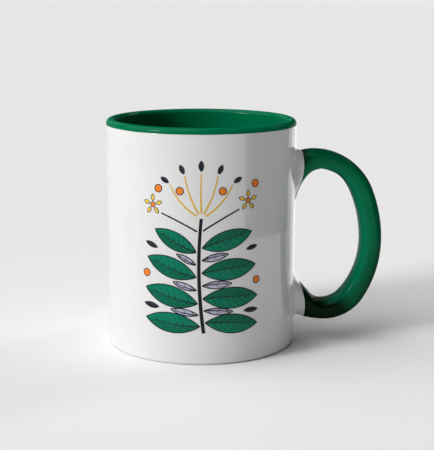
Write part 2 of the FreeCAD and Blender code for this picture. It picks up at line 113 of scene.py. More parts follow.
# The handle, read from the frame and then as in the solids
HANDLE_TOP = float(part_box("handle_loop")[1][2])
HANDLE_BOTTOM = float(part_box("handle_loop")[0][2])
HANDLE_TIP = float(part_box("handle_loop")[1][0])
HANDLE_HALF_WIDTH = float(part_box("handle_loop")[1][1])
UPPER_ARM = 7.9 * MM
LOWER_ARM = 13.0 * MM
UPPER_SWEEP = 20.0 * MM
LOWER_SWEEP = 39.0 * MM
FINGER_ARM = 11.9 * MM
UPPER_THICK = 7.9 * MM
LOWER_THICK = 8.2 * MM
GRIP_THICK = 8.9 * MM
WIDEST_POINT_SHARE = 0.469
FINGER_WIDEST_SHARE = 0.453
UPPER_BEND_SHARE = 0.916
LOWER_BEND_SHARE = 0.824
FINGER_BEND_SHARE = 0.656
UPPER_FLARE = (6.6 * MM, 10.6 * MM)
LOWER_FLARE = (9.1 * MM, 10.7 * MM)
FLARE_ROUND = 5.5 * MM
FLARE_FOOT_ROUND = 11.0 * MM
SKIRT_CLEAR = 1.2
UPPER_SKIRT = 3.0 * MM
LOWER_SKIRT = 1.4 * MM
SKIRT_RUN = 3.6 * MM
SKIRT_SPREAD = 3.4 * MM
SAG_RUN = 7.0 * MM
SECTION_FULLNESS = 3.1
EDGE_SHARPNESS = 1.6
BEAD_RISE = 1.6
# The round lines where the green glaze ends: reach from the wall, radius, and height of centre
UPPER_GLAZE_LINE = (3.2 * MM, 26.0 * MM, HANDLE_TOP - 6.4 * MM)
LOWER_GLAZE_LINE = (4.6 * MM, 24.5 * MM, HANDLE_BOTTOM + 6.2 * MM)
HANDLE_END = 4.0

# Where the handle's green is paler or darker: a little paler over edges where the glaze thins,
# painted light on the finger side, and painted shade outside, at the upper end, in the lower bend
# and low on the arm by the root. Each range eases in from its first number to its second, along
# the green bar from 0 to 1, or across it from -1 on the finger side to 1 outside.
FINGER_ACROSS, FINGER_ALONG = (0.1, -0.5), (0.0, 0.25)
OUTER_ACROSS, OUTER_ALONG = (0.15, 0.95), (0.0, 0.3)
START_ACROSS, START_ALONG = (-0.4, 0.2), (0.14, 0.01)
BEND_ACROSS, BEND_ALONG = (-0.6, 0.0), (0.42, 0.62)
LOW_ACROSS, LOW_ALONG = (-0.9, -0.5), (0.7, 0.78)
ROOT_ALONG = (0.77, 0.84)
# Paler green: a little where glaze thins over edges, more as painted light on the finger side
EDGE_THIN, FINGER_PAINTED_LIGHT = 0.1, 0.2
# Painted shade: how dark outside, at the upper end, in the lower bend and low on the arm
OUTER_PAINTED_SHADE, START_PAINTED_SHADE, BEND_PAINTED_SHADE, LOW_PAINTED_SHADE = 0.5, 0.7, 0.3, 0.85
LOW_OUTER_RELIEF = 0.3
DARKEST_PAINTED_SHADE = 0.97

# The print: its zone, its strokes and its figures, as in the solids
PRINT_WIDTH = 50.0 * MM
PRINT_HEIGHT = 70.0 * MM
PRINT_MIDDLE = 48.5 * MM
STEM_WIDTH = 1.5 * MM
STEM_GAP = 0.4 * MM
TWIG_WIDTH = 0.7 * MM
VEIN_WIDTH = 0.5 * MM
SIDE_VEIN_WIDTH = 0.22 * MM
OUTLINE_WIDTH = 0.42 * MM
BLOOM_RADIUS = 4.2 * MM
BERRY_RADIUS = 1.5 * MM
GROUND_INK = 0.05 * MM
LINE_INK = 0.04 * MM
LINE_LIFT = 0.7 * GROUND_INK

# Where the print's figures lie, as shares of its width across and of its height up, both from its
# middle. The stem, a twig and a stalk end with their bow, and a leaf and a bud with their
# fullness. What grows from the stem has its side, how high it leaves the stem, and its tip, and
# what doesn't has its base and its tip.
LEFT, RIGHT = -1, 1
STEM_SHARES = ((0.02, -0.5), (0.0, 0.17), 0.03)
TWIG_SHARES = [(LEFT, 0.095, (-0.325, 0.195), -0.02), (RIGHT, 0.1, (0.31, 0.218), 0.02)]
LEAF_SHARES = [
    (LEFT, -0.46, (-0.47, -0.425), 0.175),
    (RIGHT, -0.437, (0.48, -0.46), 0.175),
    (LEFT, -0.325, (-0.47, -0.245), 0.185),
    (RIGHT, -0.295, (0.48, -0.295), 0.185),
    (LEFT, -0.17, (-0.45, -0.065), 0.185),
    (RIGHT, -0.145, (0.46, -0.11), 0.185),
    (LEFT, -0.025, (-0.38, 0.1), 0.18),
    (RIGHT, 0.0, (0.42, 0.085), 0.18),
]
PALE_LEAF_SHARES = [
    (LEFT, -0.392, (-0.25, -0.362), 0.115),
    (RIGHT, -0.366, (0.26, -0.377), 0.115),
    (LEFT, -0.247, (-0.23, -0.2), 0.125),
    (RIGHT, -0.22, (0.25, -0.209), 0.125),
    (LEFT, -0.098, (-0.2, -0.036), 0.125),
    (RIGHT, -0.072, (0.22, -0.037), 0.125),
]
DARK_LEAF_SHARES = [
    ((-0.345, -0.357), (-0.49, -0.34), 0.17),
    ((0.35, -0.378), (0.49, -0.378), 0.17),
    ((-0.355, -0.008), (-0.47, 0.025), 0.18),
    ((0.37, -0.018), (0.48, 0.0), 0.18),
]
STALK_SHARES = [
    ((-0.035, 0.185), (-0.25, 0.36), 0.08),
    ((-0.018, 0.195), (-0.13, 0.41), 0.05),
    ((0.0, 0.2), (0.0, 0.425), 0.01),
    ((0.018, 0.195), (0.13, 0.41), -0.05),
    ((0.035, 0.185), (0.25, 0.36), -0.08),
]
BUD_SHARES = [
    ((-0.258, 0.37), (-0.33, 0.4), 0.25),
    ((-0.135, 0.42), (-0.17, 0.475), 0.25),
    ((0.0, 0.435), (0.0, 0.5), 0.25),
    ((0.135, 0.42), (0.17, 0.475), 0.25),
    ((0.258, 0.37), (0.33, 0.4), 0.25),
]
BLOOM_SHARES = [(-0.4, 0.24), (0.385, 0.265)]
BERRY_SHARES = [
    (-0.46, -0.16),
    (0.47, -0.203),
    (-0.17, 0.325),
    (0.17, 0.325),
    (-0.35, 0.335),
    (0.45, 0.36),
]
PETAL_COUNT = 5
PETAL_FOOT_SHARE = 0.34
PETAL_FULLNESS_SHARE = 0.26
EYE_SHARE = 0.24

# How far strokes narrow, how light some outlines are, and where veins lie, as shares
STEM_TAPER, TWIG_TAPER, STALK_TAPER, MIDRIB_TAPER, SIDE_VEIN_TAPER = 0.85, 0.8, 0.7, 0.4, 0.5
EYE_OUTLINE, PETAL_OUTLINE, BERRY_OUTLINE = 0.7, 0.6, 0.8
LEAF_VEINS, PALE_LEAF_VEINS = 6, 3
MIDRIB_REACH, MIDRIB_BOW = 0.86, 0.03
SIDE_VEIN_START, SIDE_VEIN_SPAN = 0.16, 0.6
SIDE_VEIN_LEAN, SIDE_VEIN_LAST = 0.15, 0.97
SIDE_VEIN_REACH, SIDE_VEIN_BOW = 0.8, 0.08

# How finely shapes are divided: steps round curves are in radians
CURVE_STEP, FINE_STEP, EDGE_STEP, HIDDEN_STEP = 0.16, 0.1, 0.4, 0.3
CORNER_STEP, OVAL_STEP, SWEEP_STEP = 0.08, 0.04, 0.02
RUN_STEP = 3.0 * MM
INK_STEP = 1.2 * MM
PETAL_STEP = 0.4 * MM
SPOKES, DISC_SPOKES, RING_SPOKES = 256, 28, 36
SECTION_POINTS = 72
LOOP_ROWS, ROOT_ROWS, LEAF_ROWS, DISC_ROWS = 240, 40, 3, 2
LINE_HALVINGS = 40
LINE_SEARCH = 1.2
WHEEL_WELD = 0.001 * MM
INK_WELD = 0.004 * MM
NEAR_POINTS = 0.0001 * MM

# Most of the noise lies between these two numbers
NOISE_RANGE = (0.3, 0.7)

# Colours: the two shades that a finish drifts between, and what tints it
WHITE_SHADES = (0.61, 0.615, 0.61, 1), (0.635, 0.635, 0.63, 1)
GREEN_SHADES = (0.0, 0.113, 0.045, 1), (0.0, 0.138, 0.057, 1)
# Paler green where glaze thins, also used as painted light on the handle's finger side
THIN_AND_LIT_GREEN = (0.0, 0.28, 0.15, 1)
# Near-black green of the painted shade on the handle
PAINTED_SHADE_GREEN = (0.0, 0.008, 0.001, 1)
CLAY_SHADES = (0.6, 0.56, 0.49, 1), (0.72, 0.68, 0.61, 1)
CLAY_STAIN = (0.42, 0.4, 0.37, 1)
FLOOR_SHADES = (0.865, 0.865, 0.861, 1), (0.875, 0.875, 0.871, 1)
DARK_CARD = (0.01, 0.01, 0.01, 1)
INK_SHADES = {
    "dark ink": ((0.006, 0.008, 0.012, 1), (0.03, 0.034, 0.05, 1)),
    "leaf ink": ((0.0, 0.105, 0.055, 1), (0.0, 0.175, 0.1, 1)),
    "lavender grey ink": ((0.27, 0.27, 0.36, 1), (0.42, 0.42, 0.52, 1)),
    "gold ink": ((0.6, 0.36, 0.03, 1), (0.8, 0.56, 0.09, 1)),
    "orange ink": ((0.72, 0.17, 0.02, 1), (0.85, 0.28, 0.04, 1)),
}


# Outlines: straight runs and round turns, as lists of (across, up) points


def run(start, end):
    """Points along a straight run, without its last one."""
    count = max(1, int(math.dist(start, end) / RUN_STEP))
    return [
        (start[0] + (end[0] - start[0]) * i / count, start[1] + (end[1] - start[1]) * i / count)
        for i in range(count)
    ]


def turn(centre, radius, first, last, step=CURVE_STEP):
    """Points round an arc between two angles in degrees, both ends included."""
    first, last = math.radians(first), math.radians(last)
    count = max(2, math.ceil(abs(last - first) / step))
    angles = [first + (last - first) * i / count for i in range(count + 1)]
    return [(centre[0] + radius * math.cos(a), centre[1] + radius * math.sin(a)) for a in angles]


def chain(*parts):
    """Joins stretches of outline, with straight runs over the gaps between them."""
    points = []
    for part in parts:
        if points and math.dist(points[-1], part[0]) > RUN_STEP:
            points += run(points[-1], part[0])[1:]
        points += [p for p in part if not points or math.dist(points[-1], p) > NEAR_POINTS]
    return points


def cup_outline():
    """The white cup from the middle of its underside, up the outside and down under the lining."""
    recess = (RING_INNER - RECESS_ROUND, RECESS_DEPTH - RECESS_ROUND)
    edge = GLAZED_EDGE
    return chain(
        [(0, RECESS_DEPTH)],
        turn(recess, RECESS_ROUND, 90, 0),
        turn((RING_INNER + edge, FOOT_HEIGHT + edge), edge, 180, 270),
        turn((FOOT_OUTER - edge, FOOT_HEIGHT + edge), edge, 270, RING_EDGE_END),
        turn((FOOT_OUTER, FOOT_HEIGHT + HEEL_ROUND), HEEL_ROUND, HEEL_START, 360, FINE_STEP),
        turn((BODY_RADIUS - edge, BAND_HEIGHT - edge), edge, 0, 90, EDGE_STEP),
        [(GLAZE_BED, BAND_HEIGHT), (GLAZE_BED, LIP_HEIGHT)],
        turn((LIP_MIDDLE, LIP_HEIGHT), WALL / 2 - GLAZE, 0, 180, HIDDEN_STEP),
        turn((INNER_CORNER, FLOOR_BED + FLOOR_ROUND + GLAZE), FLOOR_ROUND + GLAZE, 0, -90),
        [(0, FLOOR_BED)],
    )


def lining_outline():
    """The green glaze from the middle of its underside, over the lip and back inside.

    Outside it ends in a bead, which stands a little proud of the white wall.
    """
    floor = FLOOR_BED + GLAZE
    bead = GLAZE_BEAD
    return chain(
        [(0, FLOOR_BED)],
        turn((INNER_CORNER, floor + FLOOR_ROUND), FLOOR_ROUND + GLAZE, -90, 0),
        turn((LIP_MIDDLE, LIP_HEIGHT), WALL / 2 - GLAZE, 180, 0, HIDDEN_STEP),
        [(GLAZE_BED, BAND_HEIGHT - bead / 2)],
        turn((BODY_RADIUS - bead, BAND_HEIGHT + bead / 2), BEAD_ROUND, *BEAD_ARC, HIDDEN_STEP),
        turn((BODY_RADIUS - BEAD_TAPER, LIP_HEIGHT), BEAD_TAPER, 0, TAPER_END, FINE_STEP),
        turn((LIP_MIDDLE, LIP_HEIGHT), WALL / 2, LIP_START, 180, FINE_STEP),
        turn((INNER_CORNER, floor + FLOOR_ROUND), FLOOR_ROUND, 0, -90, FINE_STEP),
        [(0, floor)],
    )


def foot_outline():
    """The unglazed ring, its edges a little worn."""
    edge = CLAY_EDGE
    return chain(
        [(RING_INNER, FOOT_HEIGHT + edge)],
        turn((RING_INNER + edge, edge), edge, 180, 270, EDGE_STEP),
        turn((FOOT_OUTER - edge, edge), edge, 270, 360, EDGE_STEP),
        [(FOOT_OUTER, FOOT_HEIGHT + edge), (RING_INNER, FOOT_HEIGHT + edge)],
    )


# Node trees that make shapes


class Tree:
    """A short way to write a node tree: nodes made by kind, and wired as they are made."""

    def __init__(self, tree):
        self.tree = tree

    def add(self, kind, inputs=None, **settings):
        """A new node with its settings, its named inputs set or wired."""
        node = self.tree.nodes.new(kind)
        for name, value in settings.items():
            setattr(node, name, value)
        for name, value in (inputs or {}).items():
            self.wire(value, node.inputs[name])
        return node

    def wire(self, value, socket):
        """Links a node or its output to a socket, or sets the socket to a plain value."""
        if isinstance(value, bpy.types.NodeSocket):
            self.tree.links.new(value, socket)
        elif isinstance(value, bpy.types.Node):
            self.tree.links.new(value.outputs[0], socket)
        else:
            socket.default_value = value

    def maths(self, operation, *values, clamp=False):
        """What one step of maths makes of plain numbers and outputs."""
        node = self.add("ShaderNodeMath", operation=operation, use_clamp=clamp)
        for number, value in enumerate(values):
            self.wire(value, node.inputs[number])
        return node.outputs[0]

    def vector(self, x, y, z=0.0):
        """One vector made of three numbers."""
        return self.add("ShaderNodeCombineXYZ", {"X": x, "Y": y, "Z": z}).outputs[0]

    def split(self, value):
        """A vector's three numbers."""
        return self.add("ShaderNodeSeparateXYZ", {"Vector": value}).outputs

    def dress(self, values):
        """Sets or wires the named inputs of the surface shader."""
        for name, value in values.items():
            self.wire(value, self.shader.inputs[name])


def shape_tree(name, sizes, others):
    """A geometry tree with its geometry in and out, and named inputs for its sizes."""
    tree = bpy.data.node_groups.new(name, "GeometryNodeTree")
    tree.interface.new_socket("Geometry", in_out="INPUT", socket_type="NodeSocketGeometry")
    tree.interface.new_socket("Geometry", in_out="OUTPUT", socket_type="NodeSocketGeometry")
    for label, kind in {**dict.fromkeys(sizes, "Float"), **others}.items():
        tree.interface.new_socket(label, in_out="INPUT", socket_type=f"NodeSocket{kind}")
    made = Tree(tree)
    made.given = made.add("NodeGroupInput").outputs
    made.result = made.add("NodeGroupOutput").inputs
    return made


def finish_tree(made, geometry):
    """Welded real geometry in one material, as the tree's result."""
    distance, material = made.given["Weld Distance"], made.given["Material"]
    step = made.add("GeometryNodeMergeByDistance", {"Geometry": geometry, "Distance": distance})
    step = made.add("GeometryNodeRealizeInstances", {"Geometry": step})
    step = made.add("GeometryNodeSetMaterial", {"Geometry": step, "Material": material})
    made.wire(step, made.result["Geometry"])
    return made.tree


def wheel_tree():
    """Turns an outline about the Z axis, and lets the edge of a glaze wander up and down."""
    made = shape_tree(
        "Turned on the wheel",
        ["Edge Height", "Edge Radius", "Wave Height", "Wave Reach", "Wave Seed", "Weld Distance"],
        {"Rings": "Int", "Spokes": "Int", "Material": "Material"},
    )
    given = made.given
    sizes = {"Vertices X": given["Rings"], "Vertices Y": given["Spokes"]}
    grid = made.add("GeometryNodeMeshGrid", {"Size X": 1.0, "Size Y": 1.0, **sizes})
    across = made.split(grid.outputs["UV Map"])
    last_ring = made.maths("SUBTRACT", given["Rings"], 1)
    ring = made.maths("ROUND", made.maths("MULTIPLY", across["X"], last_ring))
    ring = made.add("FunctionNodeFloatToInt", {"Float": ring})
    place = made.add("GeometryNodeInputPosition")
    outline = made.add(
        "GeometryNodeSampleIndex",
        {"Geometry": given["Geometry"], "Value": place, "Index": ring},
        data_type="FLOAT_VECTOR",
        domain="POINT",
    )
    radius, _, height = made.split(outline)
    angle = made.maths("MULTIPLY", across["Y"], math.tau)
    east, north = made.maths("COSINE", angle), made.maths("SINE", angle)
    pattern = {"Vector": made.vector(east, north), "W": given["Wave Seed"]}
    waves = made.add(
        "ShaderNodeTexNoise",
        {**pattern, "Scale": WAVE_SCALE, "Detail": WAVE_DETAIL},
        noise_dimensions="4D",
    )
    swing = made.maths("MULTIPLY_ADD", waves.outputs[0], 2.0, -1.0)
    away = made.maths("ABSOLUTE", made.maths("SUBTRACT", height, given["Edge Height"]))
    near = made.maths("SUBTRACT", 1.0, made.maths("DIVIDE", away, given["Wave Reach"]), clamp=True)
    outside = made.maths("GREATER_THAN", radius, given["Edge Radius"])
    rise = made.maths("MULTIPLY", made.maths("MULTIPLY", swing, given["Wave Height"]), near)
    height = made.maths("MULTIPLY_ADD", rise, outside, height)
    turned = made.vector(
        made.maths("MULTIPLY", radius, east), made.maths("MULTIPLY", radius, north), height
    )
    body = made.add(
        "GeometryNodeSetPosition", {"Geometry": grid.outputs["Mesh"], "Position": turned}
    )
    return finish_tree(made, body)


def press_tree():
    """Wraps flat ink round the wall and gives it its thickness."""
    made = shape_tree(
        "Pressed on the wall",
        ["Wall Radius", "Lift", "Ink Thickness", "Weld Distance"],
        {"Material": "Material"},
    )
    given = made.given
    across, _, up = made.split(made.add("GeometryNodeInputPosition"))
    radius = made.maths("ADD", given["Wall Radius"], given["Lift"])
    angle = made.maths("DIVIDE", across, given["Wall Radius"])
    wrapped = made.vector(
        made.maths("MULTIPLY", radius, made.maths("SINE", angle)),
        made.maths("MULTIPLY", made.maths("MULTIPLY", radius, made.maths("COSINE", angle)), -1.0),
        up,
    )
    skin = made.add(
        "GeometryNodeSetPosition", {"Geometry": given["Geometry"], "Position": wrapped}
    )
    raised = made.add(
        "GeometryNodeExtrudeMesh",
        {"Mesh": skin, "Offset Scale": given["Ink Thickness"], "Individual": False},
        mode="FACES",
    )
    back = made.add("GeometryNodeFlipFaces", {"Mesh": skin})
    solid = made.add("GeometryNodeJoinGeometry")
    made.tree.links.new(raised.outputs["Mesh"], solid.inputs[0])
    made.tree.links.new(back.outputs["Mesh"], solid.inputs[0])
    return finish_tree(made, solid)


def shaped(source, tree, values, name):
    """The plain mesh that a tree makes of an object, which it replaces."""
    modifier = source.modifiers.new(tree.name, "NODES")
    modifier.node_group = tree
    for item in tree.interface.items_tree:
        if item.in_out == "INPUT" and item.name in values:
            modifier[item.identifier] = values[item.name]
    bpy.context.view_layer.update()
    seen = source.evaluated_get(bpy.context.evaluated_depsgraph_get())
    mesh = bpy.data.meshes.new_from_object(seen)
    mesh.name = name
    source.modifiers.clear()
    bpy.data.objects.remove(source)
    piece = bpy.data.objects.new(name, mesh)
    bpy.context.scene.collection.objects.link(piece)
    point_outwards(piece)
    return piece


def point_outwards(piece):
    """Turns a closed piece's faces outwards if they look in."""
    work = bmesh.new()
    work.from_mesh(piece.data)
    bmesh.ops.recalc_face_normals(work, faces=work.faces)
    if work.calc_volume(signed=True) < 0:
        bmesh.ops.reverse_faces(work, faces=work.faces)
    work.to_mesh(piece.data)
    work.free()
    piece.data.shade_smooth()


def new_piece(name, points, faces, material=None):
    """A new mesh in the scene, in one material if it's given."""
    mesh = bpy.data.meshes.new(name)
    mesh.from_pydata(points, [], faces)
    mesh.shade_smooth()
    if material:
        mesh.materials.append(material)
    piece = bpy.data.objects.new(name, mesh)
    bpy.context.scene.collection.objects.link(piece)
    return piece


def mark(piece, name, values):
    """Marks a piece's points with a value each, which its material reads."""
    attribute = piece.data.attributes.new(name, "FLOAT", "POINT")
    attribute.data.foreach_set("value", values)


def place_piece(piece, slot, *nodes):
    """The piece stands for its solids, which it hides, and rides with the cup; its slot is not
    used.
    """
    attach(piece, ROOT)
    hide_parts(*nodes)


def turned_piece(name, outline, material, wave=0.0):
    """A closed piece turned on the wheel from an outline, its glaze's edge waving by so much."""
    source = new_piece(f"{name}_outline", [(r, 0, z) for r, z in outline], [])
    sizes = {
        "Rings": len(outline),
        "Spokes": SPOKES + 1,
        "Edge Height": BAND_HEIGHT,
        "Edge Radius": BODY_RADIUS - EDGE_DEPTH,
        "Wave Height": wave,
        "Wave Reach": WAVE_REACH,
        "Wave Seed": WAVE_SEED,
        "Weld Distance": WHEEL_WELD,
        "Material": material,
    }
    return shaped(source, WHEEL, sizes, name)


# Materials


def new_material(name):
    """A new material, and its tree with the surface shader and Object coordinates at hand."""
    material = bpy.data.materials.new(name)
    material.use_nodes = True
    made = Tree(material.node_tree)
    made.shader = material.node_tree.nodes["Principled BSDF"]
    made.place = made.add("ShaderNodeTexCoord").outputs["Object"]
    return material, made


def noise(made, grain, detail, roughness=0.5):
    """Soft noise on Object coordinates whose features are about a grain long, in metres."""
    inputs = {"Vector": made.place, "Scale": 1 / grain, "Detail": detail, "Roughness": roughness}
    return made.add("ShaderNodeTexNoise", inputs).outputs[0]


def ramp(made, value, low, high, to_low=0.0, to_high=1.0):
    """A value's way from low to high, as one from 0 to 1 or between two other numbers."""
    inputs = {"Value": value, "From Min": low, "From Max": high}
    inputs |= {"To Min": to_low, "To Max": to_high}
    return made.add("ShaderNodeMapRange", inputs).outputs[0]


def drift(made, grain, detail, to_low=0.0, to_high=1.0):
    """Slow change over the surface between two numbers."""
    return ramp(made, noise(made, grain, detail), *NOISE_RANGE, to_low, to_high)


def mix_colour(made, factor, first, second):
    """A blend of two colours, each plain or an output."""
    node = made.add("ShaderNodeMix", data_type="RGBA")
    colours = [s for s in node.inputs if s.type == "RGBA"]
    made.wire(factor, node.inputs[0])
    for socket, colour in zip(colours, (first, second)):
        made.wire(colour, socket)
    return next(s for s in node.outputs if s.type == "RGBA")


def marked(made, name):
    """What a piece's points are marked with under a name."""
    return made.add("ShaderNodeAttribute", attribute_name=name).outputs["Fac"]


def bump(made, height, depth, strength, under=None):
    """A bump of a real depth in metres."""
    inputs = {"Height": height, "Distance": depth, "Strength": strength}
    if under is not None:
        inputs["Normal"] = under
    return made.add("ShaderNodeBump", inputs).outputs[0]


def slow_waves(made, grain):
    """The faint unevenness of a surface that was dipped and fired."""
    return bump(made, noise(made, grain, detail=1.0), depth=0.05 * MM, strength=0.5)


def orange_peel(made, grain, under):
    """The fine waviness of fired glaze."""
    return bump(made, noise(made, grain, detail=2.0), 0.004 * MM, strength=0.6, under=under)


def pinholes(made, spacing, size):
    """Sparse round pits where glaze healed badly: 0 in a pit and 1 elsewhere."""
    cells = made.add("ShaderNodeTexVoronoi", {"Vector": made.place, "Scale": 1 / spacing})
    return ramp(made, cells.outputs["Distance"], size / spacing * 0.5, size / spacing)


def white_glaze():
    """Glossy white glaze: a faint warmth that drifts at random, slow waves and a few pinholes."""
    material, made = new_material("white glaze")
    skin = orange_peel(made, grain=1.7 * MM, under=slow_waves(made, grain=11 * MM))
    pits = pinholes(made, spacing=9 * MM, size=0.22 * MM)
    cloud = drift(made, grain=38 * MM, detail=3.0)
    made.dress(
        {
            "Base Color": mix_colour(made, cloud, *WHITE_SHADES),
            "Roughness": drift(made, grain=24 * MM, detail=4.0, to_low=0.04, to_high=0.06),
            "Normal": bump(made, pits, depth=0.02 * MM, strength=0.7, under=skin),
            "IOR": 1.7,
        }
    )
    return material


def green_glaze():
    """Glossy deep green glaze, paler where it thins, with painted light and shade on the handle.
    """
    material, made = new_material("green glaze")
    skin = orange_peel(made, grain=1.6 * MM, under=slow_waves(made, grain=10 * MM))
    colour = mix_colour(made, drift(made, grain=26 * MM, detail=4.0), *GREEN_SHADES)
    # Paler where glaze thins over edges, and painted light on the handle's finger side
    colour = mix_colour(made, marked(made, "thin glaze and painted light"), colour, THIN_AND_LIT_GREEN)
    made.dress(
        {
            # Painted shade darkens the handle outside, at its ends and in its lower bend
            "Base Color": mix_colour(made, marked(made, "painted shade"), colour, PAINTED_SHADE_GREEN),
            "Roughness": drift(made, grain=20 * MM, detail=4.0, to_low=0.07, to_high=0.1),
            "Normal": skin,
            "Specular IOR Level": 0.0,
            "Coat Weight": 0.13,
            "Coat Roughness": 0.06,
            "Coat Normal": skin,
        }
    )
    return material


def bare_clay():
    """Unglazed fired clay: matt, gritty, a little grey where it has stood on tables."""
    material, made = new_material("bare clay")
    grit = noise(made, grain=0.5 * MM, detail=4.0, roughness=0.7)
    stain = ramp(made, noise(made, grain=7 * MM, detail=4.0), low=0.45, high=0.7)
    stain = made.maths("MULTIPLY", stain, 0.4)
    colour = mix_colour(made, ramp(made, grit, *NOISE_RANGE), *CLAY_SHADES)
    made.dress(
        {
            "Base Color": mix_colour(made, stain, colour, CLAY_STAIN),
            "Roughness": ramp(made, grit, low=0.2, high=0.8, to_low=0.7, to_high=0.95),
            "Normal": bump(made, grit, depth=0.05 * MM, strength=0.8),
        }
    )
    return material


def ink(name):
    """Fired decal ink: a fine stipple of two shades under the same gloss as the glaze."""
    material, made = new_material(name)
    stipple = ramp(made, noise(made, grain=0.7 * MM, detail=3.0), low=0.4, high=0.6)
    wash = ramp(made, noise(made, grain=9 * MM, detail=3.0), low=0.35, high=0.65)
    blend = made.maths("MULTIPLY_ADD", stipple, 0.15, made.maths("MULTIPLY", wash, 0.2))
    blend = made.maths("MULTIPLY_ADD", marked(made, "ink shade"), 0.65, blend)
    slow = slow_waves(made, grain=11 * MM)
    made.dress(
        {
            "Base Color": mix_colour(made, blend, *INK_SHADES[name]),
            "Roughness": ramp(made, wash, low=0, high=1, to_low=0.14, to_high=0.2),
            "Normal": bump(made, stipple, depth=0.003 * MM, strength=0.5, under=slow),
            "Specular IOR Level": 0.0,
            "Coat Weight": 0.25,
            "Coat Roughness": 0.15,
        }
    )
    return material


# The handle: a section swept between an outer and an inner outline


def corner_round(before, corner, after, radius):
    """An arc that rounds a corner of an outline."""
    corner = Vector(corner)
    back = (Vector(before) - corner).normalized()
    ahead = (Vector(after) - corner).normalized()
    half = back.angle(ahead) / 2
    centre = corner + (back + ahead).normalized() * (radius / math.sin(half))
    first = corner + back * (radius / math.tan(half)) - centre
    sweep = math.pi - 2 * half
    side = 1 if first.y * back.x - first.x * back.y > 0 else -1
    count = max(3, math.ceil(sweep / CORNER_STEP))
    turns = [side * sweep * i / count for i in range(count + 1)]
    return [tuple(centre + Matrix.Rotation(angle, 2) @ first) for angle in turns]


def oval_turn(arm_end, tip, radius):
    """From the end of a level arm to the furthest point of an oval: a small arc, then a large."""
    across, along = tip[0] - arm_end[0], abs(tip[1] - arm_end[1])
    side = 1 if tip[1] > arm_end[1] else -1
    large = (across**2 + along**2 - 2 * along * radius) / (2 * (across - radius))
    small_centre = (arm_end[0], arm_end[1] + side * radius)
    large_centre = (tip[0] - large, tip[1])
    lean = math.degrees(
        math.atan2(small_centre[1] - large_centre[1], small_centre[0] - large_centre[0])
    )
    return chain(
        turn(small_centre, radius, -90 * side, lean, OVAL_STEP),
        turn(large_centre, large, lean, 0, OVAL_STEP / 3),
    )


def outer_outline():
    """The handle's outer outline in four stretches, from the wall above to the wall below."""
    wall, top, bottom = BODY_RADIUS, HANDLE_TOP, HANDLE_BOTTOM
    upper_end, lower_end = (wall + UPPER_ARM, top), (wall + LOWER_ARM, bottom)
    tip = (HANDLE_TIP, bottom + WIDEST_POINT_SHARE * (top - bottom))
    upper = oval_turn(upper_end, tip, UPPER_BEND_SHARE * (HANDLE_TIP - upper_end[0]))
    lower = oval_turn(lower_end, tip, LOWER_BEND_SHARE * (HANDLE_TIP - lower_end[0]))
    above = arm_sweep(upper_end, UPPER_SWEEP, 1, UPPER_SKIRT)
    below = arm_sweep(lower_end, LOWER_SWEEP, -1, LOWER_SKIRT)
    return above, upper, lower[::-1], below[::-1]


def arm_sweep(arm_end, radius, side, skirt):
    """An arm's outer line from the wall, with the skirt's round there, to its level end."""
    wall = BODY_RADIUS
    centre = (arm_end[0], arm_end[1] - side * radius)
    entry = math.degrees(math.acos((arm_end[0] - wall) / radius))
    line = turn(centre, radius, side * (180 - entry), side * 90, SWEEP_STEP)
    corner = line[0]
    kept = [p for p in line if p[0] > wall + SKIRT_CLEAR * skirt]
    return chain(corner_round((wall, corner[1] + side * WALL), corner, kept[0], skirt), kept)


def inner_outline():
    """The outline round the fingers in four stretches, flared along the wall at both ends."""
    wall = BODY_RADIUS
    top, bottom = HANDLE_TOP - UPPER_THICK, HANDLE_BOTTOM + LOWER_THICK
    tip = (HANDLE_TIP - GRIP_THICK, bottom + FINGER_WIDEST_SHARE * (top - bottom))
    bend = FINGER_BEND_SHARE * (HANDLE_TIP - GRIP_THICK - wall - FINGER_ARM)
    stretches = []
    for level, side, (flare_run, rise) in ((top, -1, UPPER_FLARE), (bottom, 1, LOWER_FLARE)):
        arm_end = (wall + FINGER_ARM, level)
        knee = (wall + flare_run, level)
        foot = (wall, level + side * rise)
        beyond = (wall, foot[1] + side * rise)
        flare = chain(
            corner_round(beyond, foot, knee, FLARE_FOOT_ROUND),
            corner_round(foot, knee, arm_end, FLARE_ROUND),
            [arm_end],
        )
        stretches.append((flare, oval_turn(arm_end, tip, bend)))
    (upper_flare, upper), (lower_flare, lower) = stretches
    return upper_flare, upper, lower[::-1], lower_flare[::-1]


def sampler(stretches):
    """A function from 0 to 4 along four stretches to points, even in length within each."""
    tables = []
    for points in stretches:
        points = np.array(points)
        lengths = np.r_[0, np.cumsum(np.linalg.norm(np.diff(points, axis=0), axis=1))]
        tables.append((lengths / lengths[-1], points))

    def place(along):
        along = np.clip(along, 0, len(tables))
        which = np.minimum(along.astype(int), len(tables) - 1)
        found = np.zeros(along.shape + (2,))
        for number, (lengths, points) in enumerate(tables):
            here = which == number
            for axis in (0, 1):
                found[here, axis] = np.interp(along[here] - number, lengths, points[:, axis])
        return found

    return place


def eased(value, start, end):
    """Goes smoothly from 0 at the start to 1 at the end."""
    share = np.clip((value - start) / (end - start), 0, 1)
    return share * share * (3 - 2 * share)


def section():
    """The handle's section as shares: across, out, and how near each point is to an edge."""
    angles = np.linspace(0, math.tau, SECTION_POINTS, endpoint=False)
    power = 2 / SECTION_FULLNESS
    across = np.sign(np.sin(angles)) * np.abs(np.sin(angles)) ** power
    out = np.sign(np.cos(angles)) * np.abs(np.cos(angles)) ** power
    edge = np.clip(1 - EDGE_SHARPNESS * (1 - np.abs(np.sin(2 * angles))), 0, 1)
    return across, out, edge


SECTION = section()


